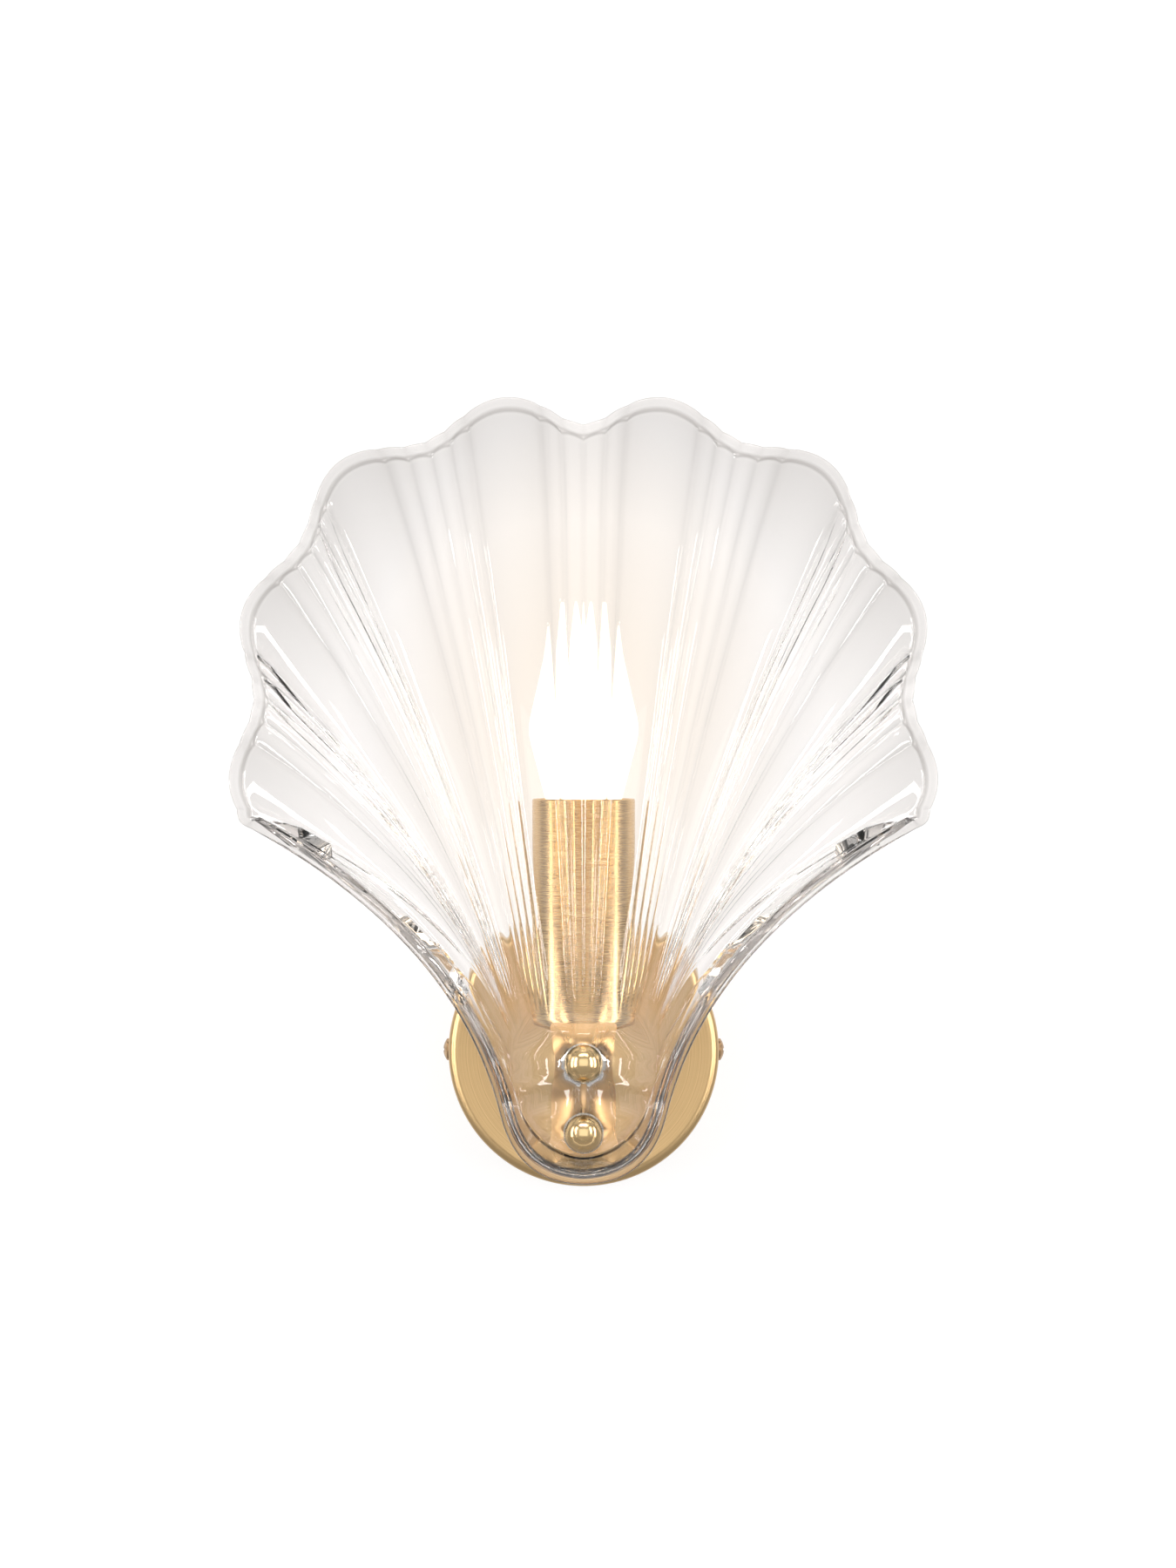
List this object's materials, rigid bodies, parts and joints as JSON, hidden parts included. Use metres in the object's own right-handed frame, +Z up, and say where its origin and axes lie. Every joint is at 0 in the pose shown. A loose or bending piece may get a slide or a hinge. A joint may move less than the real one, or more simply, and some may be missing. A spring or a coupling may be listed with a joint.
{
  "type": "wall sconce",
  "caption": "Wall light with a fluted, open-fronted clear glass shell on knurled nuts in front of a candle bulb in a brass cup, on a round brass canopy.",
  "frame": {"origin": "centre of the round canopy on the wall plane, at the back face of the wall bracket", "axes": "+Z up, -Y away from the wall towards the viewer, +X to the viewer's right"},
  "size_m": [0.2186, 0.1102, 0.2495],
  "materials": {
    "clear_glass": "pressed clear",
    "opal_glass": "opal",
    "black_glass": "glossy",
    "brushed_brass": "brushed",
    "polished_brass": "polished",
    "brass_screw": "satin",
    "zinc_steel": "zinc plated",
    "nickel_contact": "nickel plated",
    "phenolic": "moulded",
    "diode_board": "coated",
    "clear_silicone": "clear soft",
    "white_plastic": "moulded",
    "green_screw": "lacquered",
    "brown_sheath": "insulation",
    "blue_sheath": "insulation",
    "green_yellow_sheath": "insulation"
  },
  "bodies": {
    "fixture": {"glass_shell": "clear_glass", "canopy": "brushed_brass", "wall_bracket": "zinc_steel", "arm_nipple": "zinc_steel", "nipple_nut": "zinc_steel", "lock_washer": "zinc_steel", "arm_block": "brushed_brass", "lampholder_cup": "brushed_brass", "socket_nipple": "zinc_steel", "lampholder_body": "phenolic", "screw_shell": "nickel_contact", "centre_contact": "nickel_contact", "glass_plate": "polished_brass", "upper_stud": "polished_brass", "lower_stud": "polished_brass", "upper_sleeve": "clear_silicone", "lower_sleeve": "clear_silicone", "upper_rear_washer": "clear_silicone", "lower_rear_washer": "clear_silicone", "terminal_block": "white_plastic", "terminal_screws": "zinc_steel", "earth_screw": "green_screw", "earth_lug": "nickel_contact", "live_lead": "brown_sheath", "neutral_lead": "blue_sheath", "earth_lead": "green_yellow_sheath"},
    "upper_washer": {"upper_front_washer": "clear_silicone"},
    "upper_nut": {"upper_knurled_nut": "polished_brass"},
    "lower_washer": {"lower_front_washer": "clear_silicone"},
    "lower_nut": {"lower_knurled_nut": "polished_brass"},
    "bulb_contact": {"bulb_insulator": "black_glass", "bulb_tip": "nickel_contact"},
    "bulb": {"bulb_envelope": "opal_glass", "light_engine": "diode_board", "bulb_cap": "nickel_contact"},
    "left_screw": {"side_screw_left": "brass_screw"},
    "right_screw": {"side_screw_right": "brass_screw"}
  },
  "joints": [
    {"name": "upper_nut_travel", "type": "slide", "parent": "fixture", "child": "upper_washer", "axis": [0, -1, 0], "range_m": [0, 0.0035]},
    {"name": "upper_nut_turn", "type": "hinge", "parent": "upper_washer", "child": "upper_nut", "pos_m": [0, -0.072, -0.001], "axis": [0, -1, 0], "range_deg": [0, 1800]},
    {"name": "lower_nut_travel", "type": "slide", "parent": "fixture", "child": "lower_washer", "axis": [0, -1, 0], "range_m": [0, 0.0035]},
    {"name": "lower_nut_turn", "type": "hinge", "parent": "lower_washer", "child": "lower_nut", "pos_m": [0, -0.072, -0.023], "axis": [0, -1, 0], "range_deg": [0, 1800]},
    {"name": "bulb_travel", "type": "slide", "parent": "fixture", "child": "bulb_contact", "axis": [0, 0, 1], "range_m": [0, 0.0141]},
    {"name": "bulb_turn", "type": "hinge", "parent": "bulb_contact", "child": "bulb", "pos_m": [0, -0.044, 0.06], "axis": [0, 0, 1], "range_deg": [0, 1800]},
    {"name": "left_screw_travel", "type": "slide", "parent": "fixture", "child": "left_screw", "axis": [-1, 0, 0], "range_m": [0, 0.0049]},
    {"name": "right_screw_travel", "type": "slide", "parent": "fixture", "child": "right_screw", "axis": [1, 0, 0], "range_m": [0, 0.0049]}
  ],
  "couplings": [
    {"joint": "upper_nut_turn", "follows": "upper_nut_travel", "rad_per_m": 8976},
    {"joint": "lower_nut_turn", "follows": "lower_nut_travel", "rad_per_m": 8976},
    {"joint": "bulb_turn", "follows": "bulb_travel", "rad_per_m": 2228.1}
  ]
}
